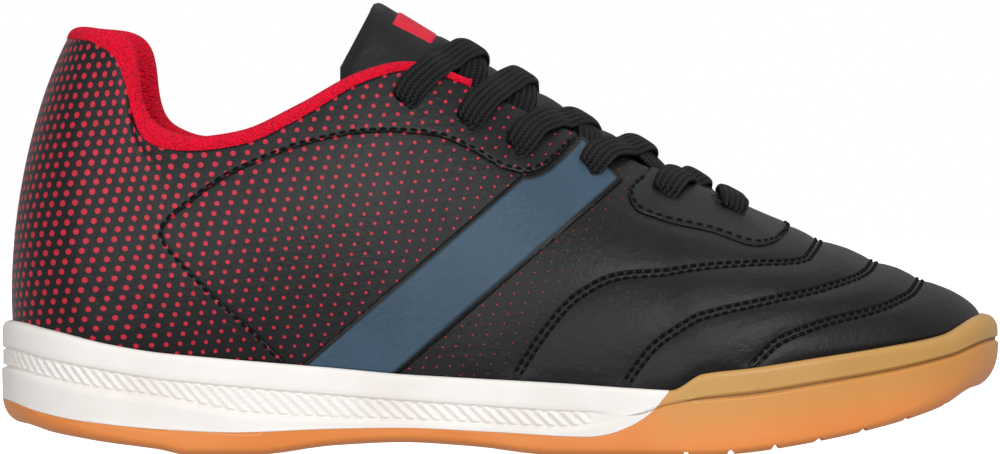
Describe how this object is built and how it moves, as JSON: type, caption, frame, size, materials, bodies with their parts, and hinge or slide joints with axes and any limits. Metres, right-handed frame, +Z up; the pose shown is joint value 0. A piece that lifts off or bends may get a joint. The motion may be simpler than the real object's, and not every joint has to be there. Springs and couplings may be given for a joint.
{
  "type": "indoor soccer shoe",
  "caption": "Low-cut indoor soccer shoe with a cupped flat rubber sole, pale ribbed sidewall, padded knit collar and a laced throat.",
  "frame": {"origin": "on the floor, under the middle of the shoe's bounding box", "axes": "+X from heel to toe, +Y to the inner (medial) side, +Z up"},
  "size_m": [0.214, 0.0802, 0.0975],
  "materials": {
    "gum_rubber": "satin, slightly translucent looking",
    "white_foam": "matte moulded foam",
    "lining_fabric": "matte knit",
    "black_leather": "smooth coated synthetic, soft sheen",
    "slate_leather": "smooth coated synthetic, soft sheen",
    "red_knit": "matte padded knit",
    "black_lace": "matte flat braid"
  },
  "bodies": {
    "root": {"outsole": "gum_rubber", "midsole": "white_foam", "insole": "lining_fabric", "upper": "black_leather", "quarter_panel": "black_leather", "front_facing": "black_leather", "side_band_lateral": "slate_leather", "side_band_medial": "slate_leather", "collar_lining": "red_knit", "tongue": "black_leather", "tongue_label": "red_knit", "lace_crossing_1": "black_lace", "lace_crossing_2": "black_lace", "lace_crossing_3": "black_lace", "lace_crossing_4": "black_lace", "lace_crossing_5": "black_lace", "lace_bar": "black_lace"}
  },
  "joints": []
}
